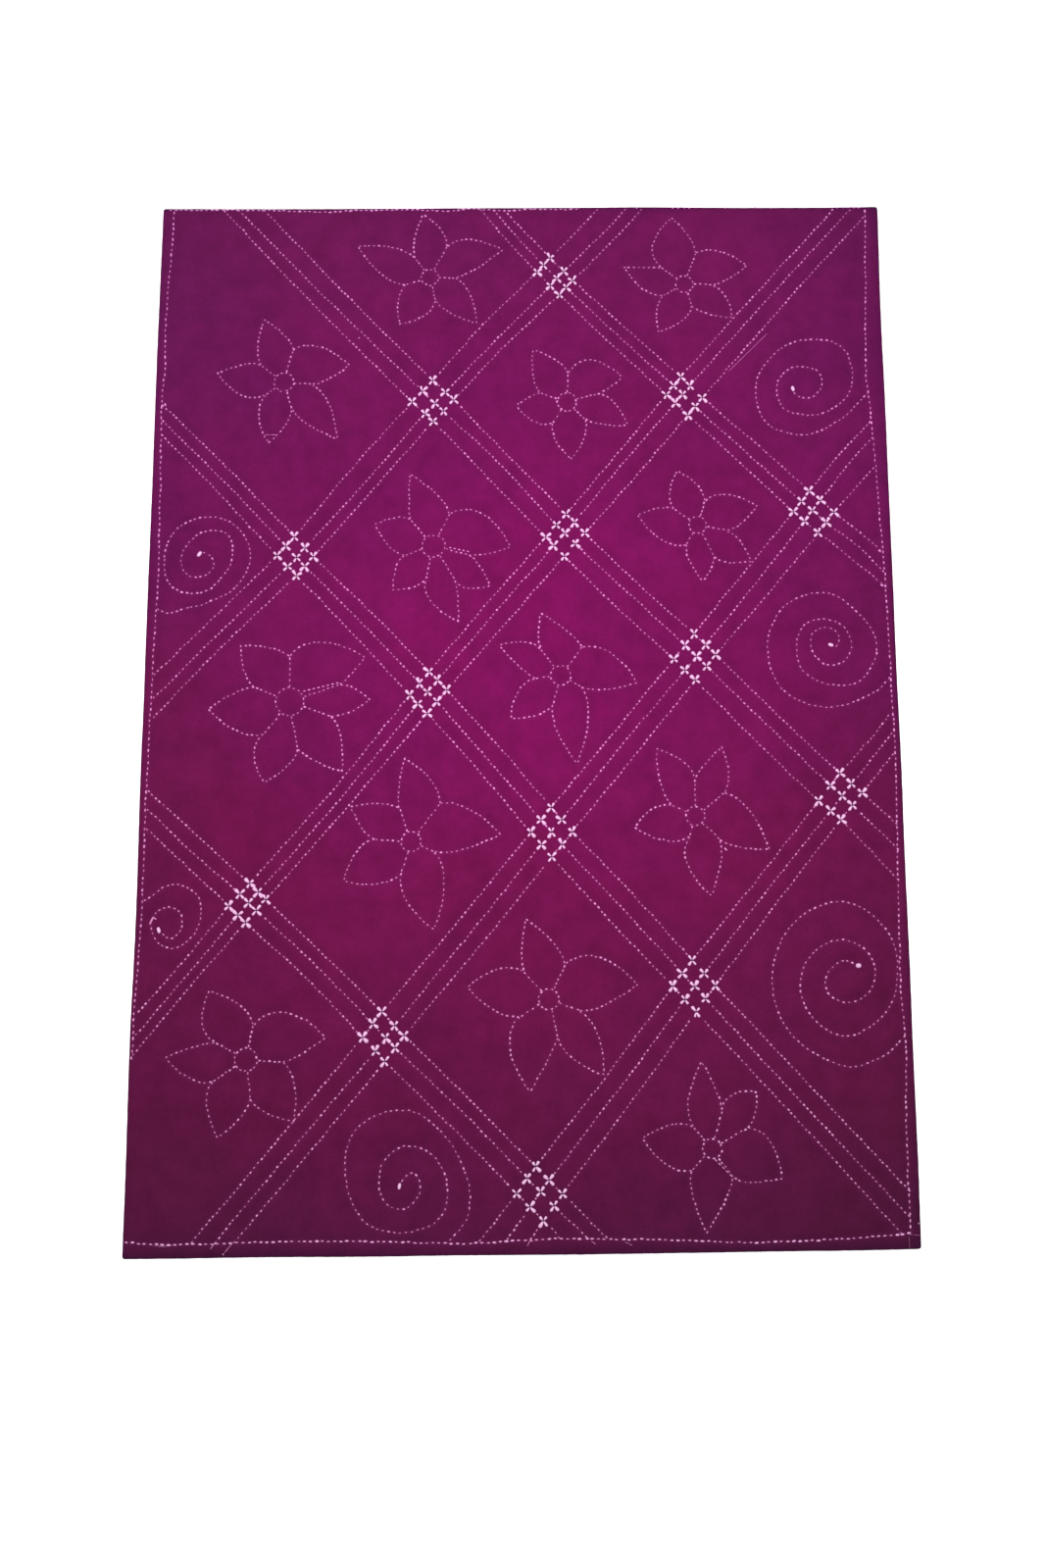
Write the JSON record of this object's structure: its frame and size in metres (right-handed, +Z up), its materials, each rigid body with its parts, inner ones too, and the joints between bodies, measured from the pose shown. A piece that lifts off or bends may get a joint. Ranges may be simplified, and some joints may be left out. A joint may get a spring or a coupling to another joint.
{
  "type": "kantha quilt",
  "caption": "Flat hand-quilted lap quilt of thin layered cotton: crossing rows of running stitches, petalled flowers, spirals and small crosses, with a turned hem.",
  "frame": {"origin": "middle of the quilt's flat underside, on the surface it lies on", "axes": "+X across the width, +Y up the length towards the edge sewn on its fold, +Z up out of the quilted face"},
  "size_m": [0.91, 1.28, 0.0036],
  "materials": {
    "quilt_cloth": "dyed plain-weave cotton, soft and matt, uneven plum",
    "thread": "pale pink embroidery cotton, soft, matt"
  },
  "bodies": {
    "root": {"quilt": "quilt_cloth"}
  },
  "joints": []
}
